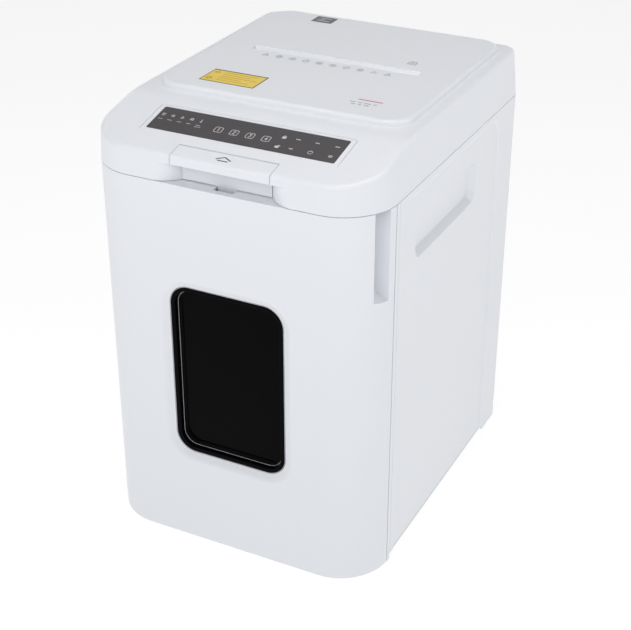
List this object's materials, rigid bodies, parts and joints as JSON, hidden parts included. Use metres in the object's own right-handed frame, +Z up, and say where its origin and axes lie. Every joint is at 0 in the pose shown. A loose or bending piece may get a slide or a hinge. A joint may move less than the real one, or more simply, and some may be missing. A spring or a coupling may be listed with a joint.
{
  "type": "paper shredder",
  "caption": "Tall office paper shredder with a lift-up feeder lid, sloping touch panel, pull-out waste drawer with a window, and a cross-cut block.",
  "frame": {"origin": "centre of the floor footprint, on the plane of the feet", "axes": "+X to the right seen from the front, +Y from the front to the back, +Z up"},
  "size_m": [0.365, 0.455, 0.5485],
  "materials": {
    "white_shell": "satin cool white, finely textured",
    "pale_plastic": "pale grey moulding",
    "dark_plastic": "dark textured moulding",
    "touch_glass": "dark grey gloss panel with white marks",
    "smoked_window": "black smoked clear plastic",
    "bin_plastic": "dark translucent plastic",
    "rubber": "black rubber",
    "sheet_steel": "zinc plated sheet",
    "bright_steel": "turned steel",
    "cutter_steel": "hardened steel, lightly oiled",
    "bronze": "sintered bronze",
    "motor_paint": "black painted can",
    "board_green": "green circuit board",
    "nylon": "natural nylon",
    "label_yellow": "yellow film label with a black border",
    "label_grey": "dark grey film label"
  },
  "bodies": {
    "cabinet": {"base_tray": "pale_plastic", "left_side_panel": "white_shell", "right_side_panel": "white_shell", "rear_panel": "white_shell", "bay_floor": "pale_plastic", "deck_frame": "sheet_steel", "feed_tray": "dark_plastic", "feet": "rubber", "left_guide_rail": "sheet_steel", "right_guide_rail": "sheet_steel", "left_frame_plate": "sheet_steel", "right_frame_plate": "sheet_steel", "gear_plate": "sheet_steel", "tie_bars": "bright_steel", "cutter_bushes": "bronze", "front_stripper": "dark_plastic", "rear_stripper": "dark_plastic", "throat_guide": "sheet_steel", "motor_body": "motor_paint", "control_board": "board_green", "mains_inlet": "dark_plastic", "inlet_pins": "bronze", "switch_housing": "dark_plastic", "lid_switch": "dark_plastic", "latch_keeper": "sheet_steel", "hinge_brackets": "sheet_steel", "hinge_pins": "bright_steel", "rating_plate": "label_grey", "rear_screws": "bright_steel"},
    "lid": {"lid_shell": "white_shell", "top_plate": "white_shell", "panel_bezel": "white_shell", "touch_panel": "touch_glass", "panel_board": "board_green", "lid_liner": "pale_plastic", "slot_guide": "pale_plastic", "lid_hinge_bar": "white_shell", "latch_ears": "pale_plastic", "latch_pin": "bright_steel", "latch_spring": "bright_steel", "press_springs": "bright_steel", "warning_label": "label_yellow", "square_label": "label_grey"},
    "lift_tab": {"lift_tab": "white_shell"},
    "pressure_plate": {"pressure_plate": "dark_plastic"},
    "drawer": {"drawer_front": "white_shell", "front_liner": "pale_plastic", "window_pane": "smoked_window", "waste_bin": "bin_plastic", "drawer_tray": "sheet_steel"},
    "front_cutter": {"front_cutter": "cutter_steel", "main_gear": "cutter_steel"},
    "rear_cutter": {"rear_cutter": "cutter_steel"},
    "reduction_gear": {"reduction_gear": "cutter_steel"},
    "motor_rotor": {"motor_rotor": "bright_steel"},
    "idler_gear": {"idler_gear": "nylon"},
    "pickup_roller": {"pickup_shaft": "bright_steel", "pickup_tyres": "rubber", "feed_gear": "nylon"},
    "power_rocker": {"power_rocker": "dark_plastic"}
  },
  "joints": [
    {"name": "lid_hinge", "type": "hinge", "parent": "cabinet", "child": "lid", "pos_m": [0, 0.2225, 0.485], "axis": [-1, 0, 0], "range_deg": [0, 65]},
    {"name": "tab_pivot", "type": "hinge", "parent": "lid", "child": "lift_tab", "pos_m": [0, -0.211, 0.5152], "axis": [-1, 0, 0], "range_deg": [0, 10], "stiffness_Nm_per_rad": 0.6, "springref_deg": -6.88},
    {"name": "press_slide", "type": "slide", "parent": "lid", "child": "pressure_plate", "axis": [0, 0, 1], "range_m": [0, 0.016], "stiffness_N_per_m": 250, "springref_m": -0.012, "deforming": ["press_springs"]},
    {"name": "drawer_slide", "type": "slide", "parent": "cabinet", "child": "drawer", "axis": [0, -1, 0], "range_m": [0, 0.36]},
    {"name": "cutter_spin", "type": "hinge", "parent": "cabinet", "child": "front_cutter", "pos_m": [0, 0.0325, 0.41], "axis": [1, 0, 0], "continuous": true},
    {"name": "rear_cutter_spin", "type": "hinge", "parent": "cabinet", "child": "rear_cutter", "pos_m": [0, 0.0705, 0.41], "axis": [1, 0, 0], "continuous": true},
    {"name": "reduction_spin", "type": "hinge", "parent": "cabinet", "child": "reduction_gear", "pos_m": [0, -0.0165, 0.41], "axis": [1, 0, 0], "continuous": true},
    {"name": "motor_spin", "type": "hinge", "parent": "cabinet", "child": "motor_rotor", "pos_m": [0, -0.054, 0.41], "axis": [1, 0, 0], "continuous": true},
    {"name": "idler_spin", "type": "hinge", "parent": "cabinet", "child": "idler_gear", "pos_m": [0, 0.01676, 0.42812], "axis": [1, 0, 0], "continuous": true},
    {"name": "pickup_spin", "type": "hinge", "parent": "cabinet", "child": "pickup_roller", "pos_m": [0, 0.0135, 0.45189], "axis": [1, 0, 0], "continuous": true},
    {"name": "rocker_tilt", "type": "hinge", "parent": "cabinet", "child": "power_rocker", "pos_m": [0.05, 0.2195, 0.395], "axis": [-1, 0, 0], "range_deg": [0, 14]}
  ],
  "couplings": [
    {"joint": "rear_cutter_spin", "follows": "cutter_spin", "ratio": -1},
    {"joint": "reduction_spin", "follows": "cutter_spin", "ratio": -3},
    {"joint": "motor_spin", "follows": "cutter_spin", "ratio": 12},
    {"joint": "idler_spin", "follows": "cutter_spin", "ratio": -1},
    {"joint": "pickup_spin", "follows": "cutter_spin", "ratio": 1}
  ]
}
